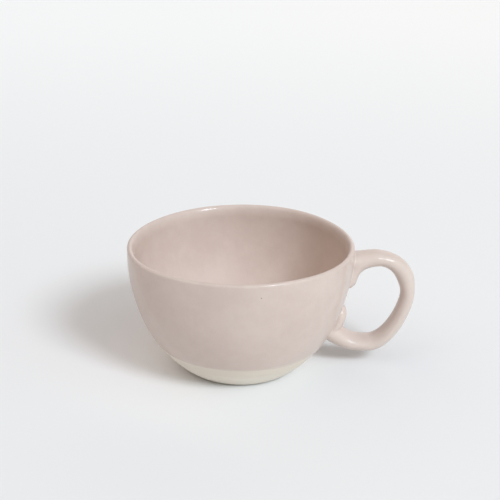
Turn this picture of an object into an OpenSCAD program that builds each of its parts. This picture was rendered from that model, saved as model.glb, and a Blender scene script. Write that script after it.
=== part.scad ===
// Cappuccino cup in glazed stoneware: a thrown bowl on a turned foot, and a pulled coil handle
// whose two ends are pressed onto the wall with slip. The bowl's axis is Z, the foot stands on
// Z = 0 and the handle points along +X. All lengths are in millimetres.

/* [Bowl] */
// Radius of the clay rim
rim_r = 54.6; // [50:0.2:60]
// Height of the clay rim above the table
height = 63.4; // [58:0.2:72]
// Thickness of the clay wall at the rim
lip_t = 2.8; // [2.2:0.1:3.6]
// How far the wall swells out below the rim before it draws in
swell = 0.4; // [0:0.1:1.5]
// Length of the slope on which the wall leaves the foot
slope_l = 10.1; // [7:0.1:13]
// Angle of that slope above the table
slope_angle = 32; // [24:1:40]
// Thickness of the floor above the recess
floor_t = 4.8; // [3.6:0.1:7]
// Radius over which the floor stays flat before it turns up
floor_r = 33; // [26:0.5:36]

/* [Foot] */
// Radius of the outer edge of the ring that stands on the table
foot_r = 25.6; // [23:0.2:28]
// Width of that flat ring
foot_w = 4.6; // [3:0.1:7]
// Radius of the rounding from the ring up to the wall
heel_r = 2.5; // [1.5:0.1:4]
// Depth of the recess turned inside the ring
recess_d = 1.8; // [1:0.1:3]

/* [Handle] */
// Drop from the rim to where the coil's centreline leaves the wall
high_root_drop = 16.8; // [15:0.1:20]
// Height above the table at which its centreline meets the wall again
low_root_z = 17.9; // [15:0.1:22]
// Reach of the centreline beyond the rim, at its furthest
reach = 27.5; // [24:0.1:33]
// Height above the table of the centreline's lowest point
low_z = 10.7; // [8:0.1:13]
// Distance of that lowest point beyond the rim
low_out = 8.5; // [5:0.1:12]
// Angle above level at which the coil leaves the upper root
leave_angle = 76; // [60:1:82]
// Angle above level at which the coil runs into the lower root
meet_angle = 32; // [22:1:40]
// Thickness of the coil where it leaves the upper root
high_root_t = 7; // [6:0.1:9]
// Thickness at the crown
crown_t = 6.7; // [6:0.1:9]
// Thickness where the crown turns down into the grip
shoulder_t = 7.6; // [6:0.1:9]
// Thickness at the furthest point
grip_t = 6.3; // [5.5:0.1:8]
// Thickness at the lowest point
sole_t = 6.9; // [6:0.1:9]
// Thickness where it runs into the lower root
low_root_t = 9; // [7.5:0.1:11]
// Width at the furthest point
grip_w = 9.2; // [8:0.1:12]
// Width at the lowest point
sole_w = 13; // [10:0.1:15]
// Width at the two roots, where the clay is pressed on
root_w = 13; // [10:0.1:15]

/* [Tails] */
// Drop from the rim to the middle of the clay crowded against the wall above the upper root
crest_drop = 8.6; // [7.5:0.1:10.5]
// Thickness of that clay at the wall
crest_t = 7.9; // [6.5:0.1:9]
// Length of the upper tail down the wall, as a share of the wall between the two roots
high_tail_share = 0.21; // [0.18:0.01:0.34]
// Thickness of the upper tail just above its blunt tip
high_tip_t = 4.4; // [3.6:0.1:7]
// Length of the lower flap up the wall, as a share of the same
low_tail_share = 0.46; // [0.3:0.01:0.52]
// Thickness of the flap where it leaves the lower root
low_tail_t = 4.7; // [4:0.1:7.5]
// Thickness of the flap at its lip, just below the tip
low_lip_t = 5.9; // [4:0.1:7.5]
// Width of the flap
low_tail_w = 11.6; // [9:0.1:13]

/* [Coats] */
// Thickness of the glaze
glaze_t = 0.4; // [0.3:0.05:0.8]
// Thickness of the slip under each root
slip_t = 0.5; // [0.3:0.05:1]
// Height of the waxed line, below which the clay stays bare
bare_h = 15; // [10:0.2:19]
// Height over which the glaze thins out to nothing at that line
bead_h = 0.8; // [0.4:0.1:1.5]

/* [Hidden] */
$fn = 128;

clay = "#d3cabd";
glaze = "#d9c4ba";
slip = "#b9aa9b";

// Shares that shape the curves: of the bowl's height, then of the chord each coil curve spans
upright_share = 0.58;
inside_upright_share = 0.55;
leave_share = 0.496;
crown_share = 0.726;
grip_share = 0.225;
lap_share = 0.324;
sole_share = 0.51;
meet_share = 0.464;
// Where the coil is furthest out, between its two roots
grip_height_share = 0.685;
// Where on the top curve the crown and the shoulder have their thickness
crown_at_share = 0.5;
shoulder_at_share = 0.84;
// Where on the side curve the coil starts to gather, and how much of its gain it has by then
gather_at_share = 0.5;
gather_share = 0.2;
// Where on the top curve the crowded clay runs out, and how much of the coil it still fills there
crest_end_share = 0.4;
crest_fill_share = 0.8;
// How far the recess's side leans, of its depth
recess_lean_share = 0.7;
// How the ends of the tails round off: the power of the run, and the power of the drop
tail_power = 5;
flap_power = 4;
drop_power = 0.6;
// The last ring of a tail is drawn this far along it, and then closed flat
tip_share = 0.97;
// How the rings crowd together towards a tail's tip
crowd_power = 1.4;
// How deep the flap's back lies in the wall, of its thickness
flap_sunk_share = 0.15;
// How deep the crowded clay and the coil's lower end start in the wall, of their thickness
crest_sunk_share = 0.2;
buried_share = 0.45;

halvings = 24;
wall_steps = 30;
inside_steps = 24;
lip_steps = 12;
heel_steps = 4;
tail_steps = 7;
top_steps = 15;
side_steps = 13;
sole_steps = 9;
flap_steps = 11;
crest_steps = 4;
coil_sides = 18;

// A point on a cubic curve, and the curve's unit direction there
function on_curve(p, t) =
    pow(1 - t, 3) * p[0] + 3 * pow(1 - t, 2) * t * p[1] + 3 * (1 - t) * t * t * p[2] + pow(t, 3) * p[3];
function unit(v) = v / norm(v);
function along(p, t) =
    unit(pow(1 - t, 2) * (p[1] - p[0]) + 2 * (1 - t) * t * (p[2] - p[1]) + t * t * (p[3] - p[2]));
// Right of a direction, which is outward for a wall drawn upward
function right_of(d) = [d[1], -d[0]];
function mix(a, b, t) = a + (b - a) * t;
function direction(angle) = [cos(angle), sin(angle)];

// The bowl's outside, from the heel up to the lip, as radius and height
lip_r = lip_t / 2;
lip_z = height - lip_r;
heel_top = [foot_r + heel_r * sin(slope_angle), heel_r * (1 - cos(slope_angle))];
wall = [
    heel_top,
    heel_top + slope_l * direction(slope_angle),
    [rim_r + swell, lip_z - upright_share * height],
    [rim_r, lip_z]
];
function wall_point(t, out) = on_curve(wall, t) + out * right_of(along(wall, t));
// The share of the wall's curve at a height, found by halving
function wall_share(z, low = 0, high = 1, left = halvings) =
    left == 0 ? (low + high) / 2 :
    on_curve(wall, (low + high) / 2)[1] < z ?
        wall_share(z, (low + high) / 2, high, left - 1) :
        wall_share(z, low, (low + high) / 2, left - 1);
line_share = wall_share(bare_h);
bead_share = wall_share(bare_h + bead_h);

// The bowl's inside, from the lip down to the middle of the floor
floor_z = recess_d + floor_t;
inside = [
    [rim_r - lip_t, lip_z],
    [rim_r - lip_t, lip_z - inside_upright_share * height],
    [floor_r, floor_z],
    [0, floor_z]
];
function inside_point(t, out) = on_curve(inside, t) + out * right_of(along(inside, t));

// The wall's points up to the lip; the whole wall, or only from a share of it
function wall_points(out, from = 0) =
    [for (i = [0 : wall_steps]) wall_point(mix(from, 1, i / wall_steps), out)];
// The lip, between two angles round its middle
function lip_points(out, from, to) =
    [for (i = [0 : lip_steps])
        [rim_r - lip_r, lip_z] + (lip_r + out) * direction(mix(from, to, i / lip_steps))];
function inside_points(out) = [for (i = [0 : inside_steps]) inside_point(i / inside_steps, out)];
function reversed(list) = [for (i = [len(list) - 1 : -1 : 0]) list[i]];

foot_points = [
    [0, recess_d],
    [foot_r - foot_w - recess_lean_share * recess_d, recess_d],
    [foot_r - foot_w, 0],
    [foot_r, 0]
];
heel_points = [for (i = [1 : heel_steps - 1])
    [foot_r, heel_r] + heel_r * direction(mix(0, slope_angle, i / heel_steps) - 90)];

module bowl() {
    color(clay) rotate_extrude() polygon(concat(
        foot_points,
        heel_points,
        wall_points(0),
        lip_points(0, 0, 180),
        inside_points(0)
    ));
}

// The bowl as a filled block, grown outward, to cut what seats on it
module blank(out) {
    points = wall_points(out);
    rotate_extrude() polygon(concat(
        [[0, points[0][1]]],
        points,
        [[0, points[wall_steps][1]]]
    ));
}

// The glazed bowl as a filled block: clay up to the waxed line, and glaze above it
module glazed_blank() {
    low = wall_point(0, 0);
    points = wall_points(glaze_t, bead_share);
    rotate_extrude() polygon(concat(
        [[0, low[1]]],
        [for (i = [0 : wall_steps]) wall_point(mix(0, line_share, i / wall_steps), 0)],
        points,
        [[0, points[wall_steps][1]]]
    ));
}

// A layer on the bowl's outside, as thick as the slip
module slip_layer() {
    rotate_extrude() polygon(concat(wall_points(0), reversed(wall_points(slip_t))));
}

// The coil's centreline, as reach and height: the upper tail, the crown, the grip and the sole
high_root = on_curve(wall, wall_share(height - high_root_drop));
low_root = on_curve(wall, wall_share(low_root_z));
root_gap = height - high_root_drop - low_root_z;
high_tip = on_curve(wall, wall_share(height - high_root_drop - high_tail_share * root_gap));
furthest = [rim_r + reach, mix(low_root[1], high_root[1], grip_height_share)];
lowest = [rim_r + low_out, low_z];
tail_l = norm(high_root - high_tip);
leave = direction(leave_angle);
meet = direction(180 - meet_angle);
tail_curve = [
    high_tip,
    high_tip + tail_l / 3 * along(wall, wall_share(high_tip[1])),
    high_root - tail_l / 3 * leave,
    high_root
];
top_curve = [
    high_root,
    high_root + leave_share * norm(furthest - high_root) * leave,
    furthest + [0, crown_share * norm(furthest - high_root)],
    furthest
];
side_curve = [
    furthest,
    furthest - [0, grip_share * norm(lowest - furthest)],
    lowest + [lap_share * norm(lowest - furthest), 0],
    lowest
];
sole_curve = [
    lowest,
    lowest - [sole_share * norm(low_root - lowest), 0],
    low_root - meet_share * norm(low_root - lowest) * meet,
    low_root
];

// How full a tail is at a share of its run, from 1 at its root down to a rounded tip
function fullness(run, power) = pow(1 - pow(run, power), drop_power);
function tail_run(step_share) = tip_share * (1 - pow(1 - step_share, crowd_power));

// A size that eases from one [stage, size] pair to the next
function ease(t) = t * t * (3 - 2 * t);
function eased(pairs, stage, i = 0) =
    stage <= pairs[i + 1][0] ?
        mix(pairs[i][1], pairs[i + 1][1], ease((stage - pairs[i][0]) / (pairs[i + 1][0] - pairs[i][0]))) :
        eased(pairs, stage, i + 1);

// The stages of the coil count its curves: the top from 0, the side from 1, the sole from 2 to 3
coil_thickness = [
    [0, high_root_t],
    [crown_at_share, crown_t],
    [shoulder_at_share, shoulder_t],
    [1, grip_t],
    [1 + gather_at_share, mix(grip_t, sole_t, gather_share)],
    [2, sole_t],
    [3, low_root_t]
];
coil_width = [[0, root_w], [1, grip_w], [2, sole_w], [3, root_w]];

// A station is [centre, direction, half thickness, half width]
function stations(curve, stage, first, last) =
    [for (i = [first : last]) let (s = i / last) [
        on_curve(curve, s),
        along(curve, s),
        eased(coil_thickness, stage + s) / 2,
        eased(coil_width, stage + s) / 2
    ]];
tail_stations = [for (i = [0 : tail_steps - 1])
    let (run = tail_run(1 - i / tail_steps))
    [
        on_curve(tail_curve, 1 - run),
        along(tail_curve, 1 - run),
        mix(high_root_t, high_tip_t, run * run) / 2 * fullness(run, tail_power),
        root_w / 2 * fullness(run, tail_power)
    ]];
top_stations = stations(top_curve, 0, 0, top_steps);
side_stations = stations(side_curve, 1, 1, side_steps);
sole_stations = stations(sole_curve, 2, 1, sole_steps);
buried_station = [
    [low_root + buried_share * low_root_t * meet, meet, low_root_t / 2, root_w / 2]];
coil_stations = concat(tail_stations, top_stations, side_stations, sole_stations, buried_station);
upper_part = tail_steps + floor(top_steps / 2);
lower_part = len(coil_stations) - 2 - floor(sole_steps / 2);

// The flap's stations climb the wall from the lower root to its tip
flap_start = wall_share(low_root_z);
flap_end = wall_share(low_root_z + low_tail_share * root_gap);
flap_stations = [for (i = [0 : flap_steps])
    let (
        run = tail_run(i / flap_steps),
        share = mix(flap_start, flap_end, run),
        full = fullness(run, flap_power),
        thick = mix(low_tail_t, low_lip_t, run) * full
    )
    [
        wall_point(share, thick * (0.5 - flap_sunk_share)),
        along(wall, share),
        thick * (0.5 + flap_sunk_share),
        low_tail_w / 2 * full
    ]];

// The clay crowded above the upper root runs from the wall out into the coil
crest_start = wall_point(wall_share(height - crest_drop), -crest_sunk_share * crest_t);
crest_end = on_curve(top_curve, crest_end_share);
crest_end_t = crest_fill_share * eased(coil_thickness, crest_end_share);
crest_end_w = crest_fill_share * eased(coil_width, crest_end_share);
crest_stations = [for (i = [0 : crest_steps]) let (s = i / crest_steps) [
    mix(crest_start, crest_end, s),
    unit(crest_end - crest_start),
    mix(crest_t, crest_end_t, s) / 2,
    mix(root_w, crest_end_w, s) / 2
]];

// A closed skin through a run of stations, each an oval that stands square to its direction
module sweep(list, grow) {
    last = len(list) - 1;
    points = [for (i = [0 : last], k = [0 : coil_sides - 1])
        let (
            s = list[i],
            angle = 360 * k / coil_sides,
            end = i == 0 ? -grow : i == last ? grow : 0,
            flat = s[0] + end * s[1] + (s[2] + grow) * cos(angle) * right_of(s[1])
        )
        [flat[0], (s[3] + grow) * sin(angle), flat[1]]];
    sides = [for (i = [0 : last - 1], k = [0 : coil_sides - 1])
        let (
            a = i * coil_sides + k,
            b = i * coil_sides + (k + 1) % coil_sides
        )
        each [[a, b + coil_sides, b], [a, a + coil_sides, b + coil_sides]]];
    first_end = [for (k = [1 : coil_sides - 2]) [0, k, k + 1]];
    last_end = [for (k = [1 : coil_sides - 2]) last * coil_sides * [1, 1, 1] + [0, k + 1, k]];
    polyhedron(points, concat(sides, first_end, last_end));
}

function part_of(list, first, last) = [for (i = [first : last]) list[i]];

module raw_handle(grow) {
    sweep(coil_stations, grow);
    sweep(crest_stations, grow);
    sweep(flap_stations, grow);
}

module upper_root() {
    sweep(part_of(coil_stations, 0, upper_part), 0);
    sweep(crest_stations, 0);
}

module lower_root() {
    sweep(part_of(coil_stations, lower_part, len(coil_stations) - 1), 0);
    sweep(flap_stations, 0);
}

module handle() {
    color(clay) difference() {
        raw_handle(0);
        blank(slip_t);
    }
}

module upper_slip() {
    color(slip) intersection() {
        slip_layer();
        upper_root();
    }
}

module lower_slip() {
    color(slip) intersection() {
        slip_layer();
        lower_root();
    }
}

// The outside coat ends on the crown of the lip, where the inside coat begins
module outer_glaze() {
    color(glaze) difference() {
        rotate_extrude() polygon(concat(
            wall_points(glaze_t, bead_share),
            lip_points(glaze_t, 0, 90),
            lip_points(0, 90, 0),
            reversed(wall_points(0, line_share))
        ));
        upper_root();
        lower_root();
    }
}

module inner_glaze() {
    color(glaze) rotate_extrude() polygon(concat(
        lip_points(glaze_t, 90, 180),
        inside_points(glaze_t),
        reversed(inside_points(0)),
        lip_points(0, 180, 90)
    ));
}

module handle_glaze() {
    color(glaze) difference() {
        raw_handle(glaze_t);
        raw_handle(0);
        glazed_blank();
    }
}

bowl();
handle();
upper_slip();
lower_slip();
outer_glaze();
inner_glaze();
handle_glaze();
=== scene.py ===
import bmesh
import bpy
import math
import numpy as np
from mathutils import Matrix, Vector


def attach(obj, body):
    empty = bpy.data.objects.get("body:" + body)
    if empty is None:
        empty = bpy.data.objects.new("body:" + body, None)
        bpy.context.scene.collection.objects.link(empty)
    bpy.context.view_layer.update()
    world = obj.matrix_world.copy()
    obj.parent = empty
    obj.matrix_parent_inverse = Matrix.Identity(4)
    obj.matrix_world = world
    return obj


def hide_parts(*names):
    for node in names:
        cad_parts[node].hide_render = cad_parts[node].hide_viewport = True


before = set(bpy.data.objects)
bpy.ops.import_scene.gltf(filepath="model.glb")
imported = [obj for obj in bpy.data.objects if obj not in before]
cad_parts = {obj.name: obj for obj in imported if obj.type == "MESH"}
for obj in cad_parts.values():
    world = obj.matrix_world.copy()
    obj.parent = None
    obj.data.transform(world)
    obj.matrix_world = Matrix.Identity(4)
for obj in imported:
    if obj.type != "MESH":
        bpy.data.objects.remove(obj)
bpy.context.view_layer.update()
mm = 0.001


# The clay bowl. It is thrown on a wheel and turned at the foot when leather hard, so it is
# nearly round, with an off-white, finely sanded body that stays bare below the waxed line.
rim_radius = 54.6 * mm
rim_height = 63.4 * mm
lip_thickness = 2.8 * mm
swell = 0.4 * mm
slope_length = 10.1 * mm
slope_angle = math.radians(32)
floor_thickness = 4.8 * mm
floor_radius = 33 * mm
foot_radius = 25.6 * mm
foot_width = 4.6 * mm
heel_radius = 2.5 * mm
recess_depth = 1.8 * mm
recess_lean = 1.26 * mm
edge_rounding = 0.5 * mm
upright_share = 0.58
inside_upright_share = 0.55
turns = 288
all_angles = np.arange(turns) * 2 * math.pi / turns


def curve(points, shares):
    """Places on a cubic curve through its first and last points, and its directions there."""
    p = [np.array(point) for point in points]
    t = np.asarray(shares)[..., None]
    places = ((1 - t) ** 3 * p[0] + 3 * (1 - t) ** 2 * t * p[1]
              + 3 * (1 - t) * t ** 2 * p[2] + t ** 3 * p[3])
    ways = (1 - t) ** 2 * (p[1] - p[0]) + 2 * (1 - t) * t * (p[2] - p[1]) + t ** 2 * (p[3] - p[2])
    return places, ways / np.linalg.norm(ways, axis=-1, keepdims=True)


def beside(points, shares, out):
    """The same curve moved to its right by a distance."""
    places, ways = curve(points, shares)
    right = np.stack([ways[..., 1], -ways[..., 0]], -1)
    return places + right * np.asarray(out)[..., None]


def arc(middle, radius, start, end, count):
    """Points on an arc, with its angles in degrees."""
    angles = np.radians(np.linspace(start, end, count))
    return np.array(middle) + radius * np.stack([np.cos(angles), np.sin(angles)], -1)


# The lip is rounded on the outside, and drawn out thinner over its last stretch on the inside
lip_radius = 0.9 * mm
lip_taper = 5.2 * mm
lip_middle = np.array([rim_radius - lip_radius, rim_height - lip_radius])
heel_top = np.array([foot_radius + heel_radius * math.sin(slope_angle),
                     heel_radius * (1 - math.cos(slope_angle))])
wall_top = rim_height - lip_thickness / 2
wall = [heel_top,
        heel_top + slope_length * np.array([math.cos(slope_angle), math.sin(slope_angle)]),
        [rim_radius + swell, wall_top - upright_share * rim_height],
        [rim_radius, wall_top]]
floor_height = recess_depth + floor_thickness
inside_top = np.array([rim_radius - lip_thickness, rim_height - lip_taper])
inside = [inside_top,
          inside_top - [0, inside_upright_share * rim_height - lip_taper],
          [floor_radius, floor_height],
          [0, floor_height]]
crest = np.array([rim_radius - lip_radius, rim_height])
lip_inside = [crest, crest - [0.55 * (lip_thickness - lip_radius), 0],
              inside_top + [0, 0.55 * lip_taper], inside_top]
wall_shares = np.linspace(0, 1, 400)
wall_line = curve(wall, wall_shares)[0]


def wall_share(height):
    """How far up the wall's curve a height lies."""
    return np.interp(height, wall_line[:, 1], wall_shares)


def handmade(points):
    """Moves points of the true form to where the thrown and handled clay really went."""
    p = np.array(points, dtype=float)
    radius = np.hypot(p[..., 0], p[..., 1])
    angle = np.arctan2(p[..., 1], p[..., 0])
    lift = np.clip(p[..., 2] / rim_height, 0, 1)
    near = np.clip(radius / rim_radius, 0, 1)
    oval = 0.15 * mm * np.cos(2 * angle + 0.6) + 0.12 * mm * np.cos(3 * angle + 1.9)
    ripple = 0.1 * mm * np.sin(5 * angle + 9 * lift) + 0.08 * mm * np.sin(7 * angle - 14 * lift + 2)
    press = 0.5 * mm * np.exp(-((lift - 0.55) / 0.2) ** 2) * np.clip(np.cos(angle), 0, 1) ** 4
    shift = near * lift * (oval + ripple) - near * press * (radius < 1.02 * rim_radius)
    grow = 1 + shift / np.maximum(radius, 1 * mm)
    p[..., 0] *= grow
    p[..., 1] *= grow
    sag = 0.33 * mm * np.cos(2 * angle) + 0.5 * mm * np.clip(np.cos(angle - 2.3), 0, 1) ** 2
    rise = 0.2 * mm * np.clip(np.cos(angle + 1.65), 0, 1) ** 2
    p[..., 2] -= (sag - rise) * near * lift ** 3
    return p


def turned(name, profile):
    """A closed skin from a profile that starts and ends on the axis. The profile may differ
    from one angle to the next: its shape is (points, angles, 2), or (points, 1, 2)."""
    count = len(profile)
    ring = np.broadcast_to(profile, (count, turns, 2))
    grid = np.stack([ring[..., 0] * np.cos(all_angles), ring[..., 0] * np.sin(all_angles),
                     ring[..., 1]], -1)
    middle = grid[1:-1].reshape(-1, 3)
    ends = np.stack([grid[0, 0], grid[-1, 0]])
    points = handmade(np.vstack([middle, ends]))
    along = np.arange(turns)
    beyond = (along + 1) % turns
    faces = []
    for row in range(count - 3):
        low, high = row * turns, (row + 1) * turns
        faces += np.stack([low + along, low + beyond, high + beyond, high + along], 1).tolist()
    last = (count - 3) * turns
    start, finish = len(middle), len(middle) + 1
    faces += [[start, int(b), int(a)] for a, b in zip(along, beyond)]
    faces += [[finish, int(last + a), int(last + b)] for a, b in zip(along, beyond)]
    return skin(name, points, faces)


def skin(name, points, faces):
    """A smooth-shaded mesh object whose faces all look outward."""
    mesh = bpy.data.meshes.new(name)
    mesh.from_pydata([tuple(point) for point in points], [], faces)
    work = bmesh.new()
    work.from_mesh(mesh)
    bmesh.ops.recalc_face_normals(work, faces=work.faces)
    work.to_mesh(mesh)
    work.free()
    mesh.shade_smooth()
    piece = bpy.data.objects.new(name, mesh)
    bpy.context.scene.collection.objects.link(piece)
    return piece


class Flow:
    """A value on its way through a shader's nodes. Python's operators add its Math nodes."""

    def __init__(self, recipe, socket):
        self.recipe = recipe
        self.socket = socket

    def math(self, operation, *values):
        return self.recipe.node("ShaderNodeMath", {"operation": operation}, dict(enumerate(values)))

    def __add__(self, other):
        return self.math("ADD", self, other)

    def __sub__(self, other):
        return self.math("SUBTRACT", self, other)

    def __rsub__(self, other):
        return self.math("SUBTRACT", other, self)

    def __mul__(self, other):
        return self.math("MULTIPLY", self, other)

    def at_least(self, other):
        return self.math("MAXIMUM", self, other)

    def between(self, low, high):
        """Rises smoothly from 0 at low to 1 at high."""
        return self.recipe.node("ShaderNodeMapRange", {"interpolation_type": "SMOOTHSTEP"},
                                {"Value": self, "From Min": low, "From Max": high})

    __radd__ = __add__
    __rmul__ = __mul__


class Recipe:
    """A shader of a material or of the world, and the nodes that feed it."""

    def __init__(self, owner, shader, **same_all_over):
        owner.use_nodes = True
        self.owner = owner
        self.tree = owner.node_tree
        self.shader = self.tree.nodes[shader]
        for socket, value in same_all_over.items():
            self.shader.inputs[socket.replace("_", " ")].default_value = value

    def node(self, kind, settings, sockets, out=0):
        """A new node's output, with its settings made first and its sockets set or linked."""
        made = self.tree.nodes.new(kind)
        for setting, value in settings.items():
            setattr(made, setting, value)
        for place, value in sockets.items():
            if isinstance(value, Flow):
                self.tree.links.new(value.socket, made.inputs[place])
            else:
                made.inputs[place].default_value = value
        return Flow(self, made.outputs[out])

    def place(self):
        """Where a point lies on the piece, in metres."""
        return self.node("ShaderNodeTexCoord", {}, {}, "Object")

    def parts(self, vector):
        """The three numbers of a vector."""
        return [self.node("ShaderNodeSeparateXYZ", {}, {"Vector": vector}, axis) for axis in "XYZ"]

    def noise(self, size, detail, rough=0.5):
        """Cloudy noise from 0 to 1, with patches of about a size in metres."""
        return self.node("ShaderNodeTexNoise", {}, {
            "Vector": self.place(), "Scale": 1 / size, "Detail": detail, "Roughness": rough}, "Fac")

    def blend(self, share, first, second):
        """A colour between two colours."""
        return self.node("ShaderNodeMix", {"data_type": "RGBA"}, {
            "Factor": share, "A": first, "B": second}, 2)

    def feed(self, socket, flow):
        self.tree.links.new(flow.socket, self.shader.inputs[socket])

    def bump(self, height, distance):
        """Raises the surface by a distance where the height is 1."""
        self.feed("Normal", self.node("ShaderNodeBump", {}, {"Height": height, "Distance": distance}))


def material(name, **same_all_over):
    """A new material's recipe, on its Principled shader."""
    return Recipe(bpy.data.materials.new(name), "Principled BSDF", **same_all_over)


def shade(red, green, blue):
    """A colour given as it looks on a screen, from 0 to 255."""
    return tuple((v / 255 / 12.92) if v < 11 else ((v / 255 + 0.055) / 1.055) ** 2.4
                 for v in (red, green, blue)) + (1.0,)


foot_inner = foot_radius - foot_width
clay_profile = np.vstack([
    [[0, recess_depth]],
    [[foot_inner * 0.35, recess_depth]],
    [[foot_inner * 0.7, recess_depth]],
    arc([foot_inner - recess_lean - edge_rounding, recess_depth - edge_rounding], edge_rounding,
        90, 35, 5),
    arc([foot_inner + edge_rounding * 0.6, edge_rounding], edge_rounding, 215, 270, 5),
    [[foot_radius - foot_width / 3, 0]],
    arc([foot_radius, heel_radius], heel_radius, -90, math.degrees(slope_angle) - 90, 8),
    curve(wall, np.linspace(0.01, 1, 90))[0],
    arc(lip_middle, lip_radius, 0, 80, 6),
    curve(lip_inside, np.linspace(0, 0.95, 12))[0],
    curve(inside, np.linspace(0, 1, 60))[0],
])
clay_bowl = turned("clay_bowl", clay_profile[:, None, :])

bare = material("bare_stoneware", Roughness=0.8, Specular_IOR_Level=0.35)
grain = bare.noise(0.35 * mm, 4.0, 0.6)
sand = bare.noise(1.1 * mm, 2.0)
cloud = bare.noise(14 * mm, 2.0)
clay_colour = bare.blend(cloud.between(0.3, 0.7), shade(231, 222, 209), shade(237, 229, 218))
# Higher up the bare band the clay is painted darker: painted shade, not a change in the clay itself.
_, _, height = bare.parts(bare.place())
clay_colour = bare.blend(height.between(6 * mm, 11 * mm), clay_colour, shade(228, 217, 204))
clay_colour = bare.blend(sand.between(0.66, 0.74) * 0.35, clay_colour, shade(194, 180, 160))
bare.feed("Base Color", clay_colour)
bare.bump(grain * 0.6 + sand * 0.4, 0.12 * mm)
clay_bowl.data.materials.append(bare.owner)
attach(clay_bowl, "root")
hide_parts("bowl")


# The glaze on the bowl. It is a glass coat, poured inside and dipped outside, that runs over the
# lip, thins there to a paler tone, and ends in a soft bead at the waxed line. A few specks of
# iron have burned through it.
glaze_thickness = 0.4 * mm
waxed_line = 15 * mm
waxed_fade = 1.6 * mm
bead_height = 0.9 * mm
gloss = 0.5
# Angle, height and radius of each speck
specks = [(-80.7, 57.6 * mm, 0.42 * mm), (64, 33 * mm, 0.35 * mm), (117, 22 * mm, 0.25 * mm),
          (171, 44 * mm, 0.3 * mm)]
line_height = waxed_line + 0.22 * mm * (
    np.sin(2 * all_angles + 0.4) + 0.7 * np.sin(5 * all_angles + 2.1)
    + 0.5 * np.sin(11 * all_angles + 4))
line_share = wall_share(line_height)
outer_shares = line_share + (1 - line_share) * np.linspace(0, 1, 90)[:, None] ** 1.35
above_line = curve(wall, outer_shares)[0][..., 1] - line_height
bead = np.clip(above_line / bead_height, 0, 1)
outer_thickness = glaze_thickness * np.sqrt(1 - (1 - bead) ** 2)


def all_round(points):
    """One profile, the same at every angle."""
    return np.repeat(np.asarray(points)[:, None, :], turns, axis=1)


glaze_coat = turned("glaze_coat", np.concatenate([
    all_round(curve(inside, np.linspace(1, 0, 24))[0]),
    all_round(curve(lip_inside, np.linspace(0.95, 0, 10))[0]),
    all_round(arc(lip_middle, lip_radius, 70, 20, 4)),
    curve(wall, np.linspace(1, 0.02, 30)[:, None] * (1 - line_share) + line_share)[0],
    beside(wall, outer_shares, outer_thickness),
    all_round(arc(lip_middle, lip_radius + glaze_thickness, 9, 82, 9)),
    all_round(beside(lip_inside, np.linspace(0, 0.97, 24), np.full(24, glaze_thickness))),
    all_round(beside(inside, np.linspace(0, 1, 70), np.full(70, glaze_thickness))),
]))


def on_wall(angle, height):
    """A point on the glazed wall, from an angle round the axis in degrees and a height."""
    radius = np.interp(height, wall_line[:, 1], wall_line[:, 0]) + glaze_thickness
    turn = math.radians(angle)
    return [radius * math.cos(turn), radius * math.sin(turn), height]


def glaze_recipe(name, paler=0.0, waxed=False):
    """The pink-beige glaze: mottled where it pooled, paler where it thins over the lip, with
    iron specks. Where the cup was waxed, its edge fades towards the clay."""
    glaze = material(name, IOR=1.5, Specular_IOR_Level=0.2, Coat_Weight=gloss, Coat_Roughness=0.12)
    where = glaze.place()
    _, _, height = glaze.parts(where)
    pooled = glaze.noise(26 * mm, 2.0)
    mottle = glaze.noise(5 * mm, 3.0, 0.6)
    fine = glaze.noise(0.9 * mm, 2.0)
    tone = (pooled * 0.5 + mottle * 0.35 + fine * 0.15).between(0.36, 0.64)
    colour = glaze.blend(tone, shade(205, 187, 178), shade(211, 194, 185))
    thin = paler + height.between(rim_height - 0.4 * mm, rim_height + 0.3 * mm) * 0.12
    colour = glaze.blend(thin, colour, shade(224, 211, 201))
    if waxed:
        edge = 1 - height.between(waxed_line - 0.2 * mm, waxed_line + waxed_fade)
        colour = glaze.blend(edge * 0.7, colour, shade(231, 221, 209))
    for speck_angle, speck_height, speck_radius in specks:
        spot = handmade(on_wall(speck_angle, speck_height))
        from_spot = glaze.node("ShaderNodeVectorMath", {"operation": "DISTANCE"},
                               {0: where, 1: tuple(spot)}, "Value")
        dark = 1 - from_spot.between(speck_radius * 0.35, speck_radius)
        colour = glaze.blend(dark * 0.6, colour, shade(96, 70, 54))
    glaze.feed("Base Color", colour)
    glaze.feed("Roughness", 0.5 + 0.1 * mottle)
    swells = glaze.noise(9 * mm, 1.0)
    glaze.bump(swells * 0.8 + fine * 0.04, 0.25 * mm)
    return glaze


# The inside was poured thinner than the outside was dipped, so the gloss ends just past the lip
body = glaze_recipe("pink_beige_glaze", waxed=True)
x, y, z = body.parts(body.place())
outward = body.node("ShaderNodeVectorMath", {"operation": "DOT_PRODUCT"}, {
    0: body.node("ShaderNodeNewGeometry", {}, {}, "Normal"),
    1: body.node("ShaderNodeCombineXYZ", {}, {"X": x, "Y": y})}, "Value")
outside = outward.between(-4 * mm, 0)
lip = z.between(rim_height - 3.4 * mm, rim_height - 1.4 * mm)
body.feed("Coat Weight", gloss * outside.at_least(lip))
glaze_coat.data.materials.append(body.owner)
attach(glaze_coat, "root")
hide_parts("outer_glaze", "inner_glaze")


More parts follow.
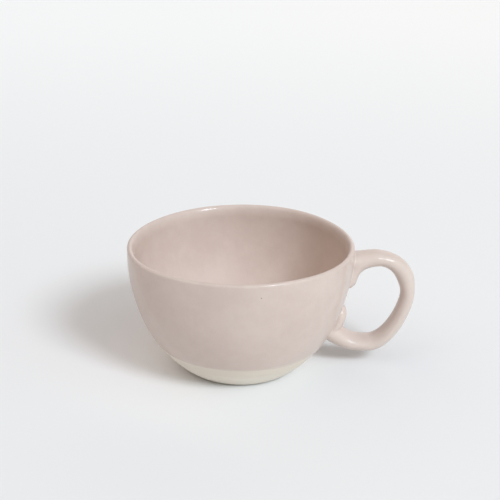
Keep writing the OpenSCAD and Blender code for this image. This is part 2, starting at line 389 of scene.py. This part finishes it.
# The handle. One pulled coil of clay is bent into a loop and luted on with slip. Its upper end is
# crowded against the wall and drawn down it as a tail, its lower end is folded up as a flap, and
# the glaze softens the creases.
reach = 27.5 * mm
high_root_drop = 16.8 * mm
low_root_height = 17.9 * mm
lowest_height = 10.7 * mm
lowest_out = 8.5 * mm
leave_angle = math.radians(76)
meet_angle = math.radians(32)
crest_drop = 8.6 * mm
crest_thickness = 7.9 * mm
crest_end = 0.4
crest_fill = 0.8
crest_sunk_share = 0.2
high_tail_share = 0.2
high_tip_thickness = 4.4 * mm
low_tail_share = 0.46
flap_thickness = 4.7 * mm
flap_lip_thickness = 5.9 * mm
flap_width = 11.6 * mm
flap_sunk_share = 0.15
sunk_run = 4 * mm
grip_height_share = 0.685
# How far each end of a curve is drawn along its direction, as a share of the curve's chord
leave_pull = 0.496
crown_pull = 0.726
grip_pull = 0.225
lap_pull = 0.324
sole_pull = 0.51
meet_pull = 0.464
# The coil's thickness and width by stage: 0 is the tip of the upper tail, 1 the upper root, 2 the
# point furthest out, 3 the lowest point, and 4 the lower root
coil_thickness = {1: 7 * mm, 1.5: 6.7 * mm, 1.84: 7.6 * mm, 2: 6.3 * mm, 2.5: 6.42 * mm,
                  3: 6.9 * mm, 4: 9 * mm}
coil_width = {1: 13 * mm, 1.4: 10 * mm, 2: 9.2 * mm, 3: 13 * mm, 4: 13 * mm}


def wall_at(height):
    """The clay wall's place and direction at a height."""
    place, way = curve(wall, np.array([float(wall_share(height))]))
    return place[0], way[0]


def fullness(run, power):
    """How full a tail is, from 1 at its root to a rounded tip."""
    return (1 - np.clip(run, 0, 1) ** power) ** 0.6


def eased(sizes, stage):
    """A size that eases from each stage in a table to the next."""
    stages, values = np.array(list(sizes)), np.array(list(sizes.values()))
    number = np.clip(np.searchsorted(stages, stage, side="right") - 1, 0, len(stages) - 2)
    run = np.clip((stage - stages[number]) / (stages[number + 1] - stages[number]), 0, 1)
    return values[number] + (values[number + 1] - values[number]) * run ** 2 * (3 - 2 * run)


high_root_height = rim_height - high_root_drop
root_gap = high_root_height - low_root_height
high_root, low_root = wall_at(high_root_height)[0], wall_at(low_root_height)[0]
high_tip, high_tip_way = wall_at(high_root_height - high_tail_share * root_gap)
furthest = np.array([rim_radius + reach, low_root_height + grip_height_share * root_gap])
lowest = np.array([rim_radius + lowest_out, lowest_height])
leave = np.array([math.cos(leave_angle), math.sin(leave_angle)])
meet = np.array([-math.cos(meet_angle), math.sin(meet_angle)])
tail_length = np.linalg.norm(high_root - high_tip)
top_chord = np.linalg.norm(furthest - high_root)
side_chord = np.linalg.norm(lowest - furthest)
sole_chord = np.linalg.norm(low_root - lowest)
up = np.array([0, 1])
level = np.array([1, 0])
# The coil's line from the tip of the upper tail, over the crown, down the grip, back along the
# sole and into the wall, and the number of points along each of its curves
loop = [
    [high_tip, high_tip + tail_length / 3 * high_tip_way, high_root - tail_length / 3 * leave,
     high_root],
    [high_root, high_root + leave_pull * top_chord * leave,
     furthest + crown_pull * top_chord * up, furthest],
    [furthest, furthest - grip_pull * side_chord * up,
     lowest + lap_pull * side_chord * level, lowest],
    [lowest, lowest - sole_pull * sole_chord * level,
     low_root - meet_pull * sole_chord * meet, low_root],
    [low_root + share * sunk_run * meet for share in (0, 1 / 3, 2 / 3, 1)],
]
samples = [30, 90, 80, 50, 8]


class Strip:
    """A run of clay with oval sections that follows a line in the handle's plane."""

    def __init__(self, line, half, side):
        self.line = line
        self.way = np.gradient(line, axis=0)
        self.way /= np.linalg.norm(self.way, axis=1, keepdims=True)
        along = np.concatenate([[0], np.cumsum(np.linalg.norm(np.diff(line, axis=0), axis=1))])
        self.sizes = np.stack([half, side], 1) + glaze_thickness
        self.growth = np.gradient(self.sizes, along, axis=0)

    def distance(self, x, y, z):
        """Distance out of the clay with its glaze."""
        x, z = np.broadcast_arrays(x, z)
        flat = np.stack([x, z], -1).reshape(-1, 2)
        nearest = np.concatenate([
            ((block[:, None] - self.line[None]) ** 2).sum(-1).argmin(1)
            for block in np.array_split(flat, len(flat) // 8000 + 1)])
        gap = flat - self.line[nearest]
        way = self.way[nearest]
        on = (gap * way).sum(1)
        off = np.abs(gap[:, 0] * way[:, 1] - gap[:, 1] * way[:, 0])
        ends = (nearest == 0) | (nearest == len(self.line) - 1)
        off = np.where(ends, np.linalg.norm(gap, axis=1), off)
        sizes = self.sizes[nearest] + self.growth[nearest] * np.where(ends, 0, on)[:, None]
        off = off.reshape(x.shape)
        half, side = (sizes[:, k].reshape(x.shape) for k in (0, 1))
        k = np.hypot(off / half, y / side)
        return k * (k - 1) / np.maximum(np.hypot(off / half ** 2, y / side ** 2), 1)


stage = np.concatenate([number + np.linspace(0, 1, count, endpoint=False)
                        for number, count in enumerate(samples)])
tail_run = np.clip(1 - stage, 0, 1)
tail_full = fullness(tail_run, 5)
thickness = (eased(coil_thickness, stage)
             + (high_tip_thickness - coil_thickness[1]) * tail_run ** 2)
coil = Strip(
    np.vstack([curve(piece, np.linspace(0, 1, count, endpoint=False))[0]
               for piece, count in zip(loop, samples)]),
    thickness / 2 * tail_full, eased(coil_width, stage) / 2 * tail_full)
flap_run = np.linspace(0, 1, 60)
flap_full = fullness(flap_run, 4)
flap_thick = (flap_thickness * (1 - flap_run) + flap_lip_thickness * flap_run) * flap_full
flap_shares = (wall_share(low_root_height) * (1 - flap_run)
               + wall_share(low_root_height + low_tail_share * root_gap) * flap_run)
flap = Strip(
    beside(wall, flap_shares, flap_thick * (0.5 - flap_sunk_share)),
    flap_thick * (0.5 + flap_sunk_share), flap_width / 2 * flap_full)
crest_run = np.linspace(0, 1, 40)[:, None]
crest_stage = 1 + crest_end
crest_foot = wall_at(rim_height - crest_drop)[0] - crest_sunk_share * crest_thickness * level
crest_tip = curve(loop[1], np.array([crest_end]))[0][0]
crest = Strip(
    crest_foot * (1 - crest_run) + crest_tip * crest_run,
    (crest_thickness * (1 - crest_run[:, 0])
     + crest_fill * eased(coil_thickness, crest_stage) * crest_run[:, 0]) / 2,
    (coil_width[1] * (1 - crest_run[:, 0])
     + crest_fill * eased(coil_width, crest_stage) * crest_run[:, 0]) / 2)


def melt(a, b, width):
    """The nearer of two distances, rounded over where they are alike."""
    share = np.clip(0.5 + 0.5 * (b - a) / width, 0, 1)
    return b * (1 - share) + a * share - width * share * (1 - share)


wall_slope = np.gradient(wall_line[:, 0], wall_line[:, 1])


def from_wall(x, y, z):
    """Distance out of the glazed wall, and of the bare clay below the waxed line."""
    cover = glaze_thickness * np.clip((z - waxed_line) / bead_height, 0, 1)
    steep = np.interp(z, wall_line[:, 1], wall_slope)
    radius = np.interp(z, wall_line[:, 1], wall_line[:, 0])
    return (np.hypot(x, y) - radius) / np.hypot(1, steep) - cover


# How far the surfaces are rounded over: in the flap's crease, between crest and coil, and along
# the wall. The fillet on the wall starts a hair above it and reaches no further than its skirt,
# and the handle's skin ends a little way inside the wall.
crease = 0.45 * mm
crest_blend = 2.5 * mm
fillet = 0.5 * mm
hair = 0.004 * mm
skirt = 0.3 * mm
buried = 0.3 * mm


def handle_field(x, y, z):
    """Distance out of the fired handle with its fillets, and only outside the wall."""
    clay = melt(coil.distance(x, y, z), crest.distance(x, y, z), crest_blend)
    clay = melt(clay, flap.distance(x, y, z), crease)
    bowl = from_wall(x, y, z)
    out = melt(clay, bowl + hair, fillet)
    out = np.maximum(out, clay - fillet - skirt)
    return np.maximum(out, -bowl - buried)


def wrapped(field, low, high, step):
    """Points and four-sided faces of the closed surface on which a field is zero."""
    counts = np.ceil((np.array(high) - low) / step).astype(int) + 1
    axes = [low[k] + step * np.arange(counts[k]) for k in range(3)]
    value = field(*np.meshgrid(*axes, indexing="ij", sparse=True))
    grid = np.meshgrid(*axes, indexing="ij")
    solid = value < 0
    cells = tuple(counts - 1)
    total = np.zeros(cells + (3,))
    hits = np.zeros(cells)
    crossings = []
    for axis in range(3):
        one, two = [slice(None)] * 3, [slice(None)] * 3
        one[axis], two[axis] = slice(0, -1), slice(1, None)
        one, two = tuple(one), tuple(two)
        cut = solid[one] != solid[two]
        drop = np.where(cut, value[one] - value[two], 1.0)
        share = np.where(cut, value[one] / drop, 0.0)
        others = [k for k in range(3) if k != axis]
        spot = np.stack([grid[k][one] for k in range(3)], -1)
        spot[..., axis] += share * step
        for i in (0, 1):
            for j in (0, 1):
                take = [slice(None)] * 3
                take[others[0]] = slice(i, counts[others[0]] - 1 + i)
                take[others[1]] = slice(j, counts[others[1]] - 1 + j)
                take = tuple(take)
                total += spot[take] * cut[take][..., None]
                hits += cut[take]
        crossings.append((axis, others, np.argwhere(cut), solid[one][cut]))
    used = hits > 0
    number = np.full(cells, -1)
    number[used] = np.arange(used.sum())
    points = total[used] / hits[used][:, None]
    faces = []
    for axis, others, where, inward in crossings:
        first, second = others
        ring = []
        for i, j in ((1, 1), (0, 1), (0, 0), (1, 0)):
            corner = where.copy()
            corner[:, first] -= i
            corner[:, second] -= j
            ring.append(number[tuple(corner.T)])
        quad = np.stack(ring, 1)
        flip = inward == (axis == 1)
        quad[flip] = quad[flip][:, ::-1]
        faces += quad.tolist()
    return points, faces


def settled(field, points, step):
    """Points moved along the field's slope until they lie on its zero surface."""
    for _ in range(2):
        value = field(*points.T)
        slope = np.stack([field(*(points + shift).T) - value
                          for shift in step * np.eye(3)], 1) / step
        size = np.maximum((slope ** 2).sum(1), 0.25)
        points = points - slope * (value / size)[:, None]
    return points


low_corner = np.array([36 * mm, -9 * mm, 2.5 * mm])
high_corner = np.array([88 * mm, 9 * mm, 62 * mm])
handle_step = 0.45 * mm
points, faces = wrapped(handle_field, low_corner, high_corner, handle_step)
points = settled(handle_field, points, 0.01 * mm)
pulled_handle = skin("pulled_handle", handmade(points), faces)
pulled_handle.data.materials.append(glaze_recipe("pink_beige_handle_glaze", paler=0.27).owner)
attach(pulled_handle, "root")
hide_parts("handle", "handle_glaze", "upper_slip", "lower_slip")


# The table and the light. The cup stands on pale paper. One broad lamp lights it from the right
# front, the walls and windows of a pale room light it softly from all round, and the table keeps
# its shadow.
handle_turn = math.radians(1)
half_table = 3.0
table = bpy.data.meshes.new("table_top")
table.from_pydata([(-half_table, -half_table, 0), (half_table, -half_table, 0),
                   (half_table, half_table, 0), (-half_table, half_table, 0)], [], [(0, 1, 2, 3)])
table_top = bpy.data.objects.new("table_top", table)
bpy.context.scene.collection.objects.link(table_top)
paper = material("pale_paper", Roughness=0.9, Specular_IOR_Level=0.1)
across, away, _ = paper.parts(paper.place())
# The paper is painted paler towards the far end and to the right: painted light, since the paper
# itself is one colour.
rightward = across.between(-0.3, 0.3)
near = paper.blend(rightward, shade(237, 238, 239), shade(240, 241, 242))
far = paper.blend(rightward, shade(248, 249, 249), shade(251, 251, 250))
paper.feed("Base Color", paper.blend(away.between(0.12, 0.85), near, far))
table.materials.append(paper.owner)


def toward(right, away, up):
    """A way given as the camera sees it: to the right, away from it, and up."""
    turn = Matrix.Rotation(-handle_turn, 4, "Z")
    return turn @ Vector((right, away, up))


def from_angles(across, height):
    """The way to a light that stands at an angle round from the right and at a height."""
    across, height = math.radians(across), math.radians(height)
    return toward(math.cos(across) * math.cos(height), math.sin(across) * math.cos(height),
                  math.sin(height))


key = bpy.data.lights.new("key", "SUN")
key.angle = math.radians(18)
key.energy = 0.56 * math.pi
key.color = (0.86, 0.93, 1.0)
key_lamp = bpy.data.objects.new("key", key)
bpy.context.scene.collection.objects.link(key_lamp)
key_lamp.rotation_mode = "QUATERNION"
key_lamp.rotation_quaternion = from_angles(across=-51, height=39).to_track_quat("Z", "Y")

# Each pale wall or window of the room: its angle round from the right, its height, how far it
# spreads, and its light
glows = [(-30, 15, 60, (0.89, 0.95, 0.93)), (60, 10, 50, (0.86, 0.73, 0.68)),
         (110, 15, 60, (0.53, 0.54, 0.57)), (180, 50, 50, (0.95, 0.79, 0.67)),
         (270, 60, 50, (0.57, 0.64, 0.69)), (270, 15, 50, (0.12, 0.1, 0.08))]
room = bpy.data.worlds.new("room")
bpy.context.scene.world = room
sky = Recipe(room, "Background")
look = sky.node("ShaderNodeTexCoord", {}, {}, "Generated")
glow = (0, 0, 0)
for glow_across, glow_height, spread, strength in glows:
    facing = sky.node("ShaderNodeVectorMath", {"operation": "DOT_PRODUCT"}, {
        0: look, 1: from_angles(glow_across, glow_height)}, "Value")
    glow = sky.node("ShaderNodeVectorMath", {"operation": "MULTIPLY_ADD"}, {
        0: facing.between(math.cos(math.radians(spread)), 1), 1: strength, 2: glow})
# Beyond the edge of the table the room is as pale as the paper
_, _, climb = sky.parts(look)
sky.feed("Color", sky.blend(climb.between(0, 0.03), (0.85, 0.86, 0.87, 1), glow))


# The camera. A long lens looks down on the cup from in front, from where its outlines fit.
pitch = math.radians(21.725)
roll = math.radians(0.355)
depth = 696.69 * mm
lens_length = 100.0
film_width = 36.0
frame_pixels = 500
foot_pixel = (240.37, 360.80)
pixels_per_unit = lens_length / film_width * frame_pixels
right = Vector((1, 0, 0))
ahead = Vector((0, math.cos(pitch), -math.sin(pitch)))
above = Vector((0, math.sin(pitch), math.cos(pitch)))
camera_right = math.cos(roll) * right + math.sin(roll) * above
camera_up = -math.sin(roll) * right + math.cos(roll) * above
foot_right = (foot_pixel[0] - frame_pixels / 2) / pixels_per_unit * depth
foot_up = -(foot_pixel[1] - frame_pixels / 2) / pixels_per_unit * depth
stand = -foot_right * camera_right - foot_up * camera_up - depth * ahead
camera = bpy.data.cameras.new("camera")
camera.lens = lens_length
camera.sensor_width = film_width
camera_piece = bpy.data.objects.new("camera", camera)
bpy.context.scene.collection.objects.link(camera_piece)
aim = Matrix((camera_right, camera_up, -ahead)).transposed().to_4x4()
camera_piece.matrix_world = (Matrix.Rotation(-handle_turn, 4, "Z")
                             @ Matrix.Translation(stand) @ aim)
bpy.context.scene.camera = camera_piece
bpy.context.scene.view_settings.view_transform = "Standard"
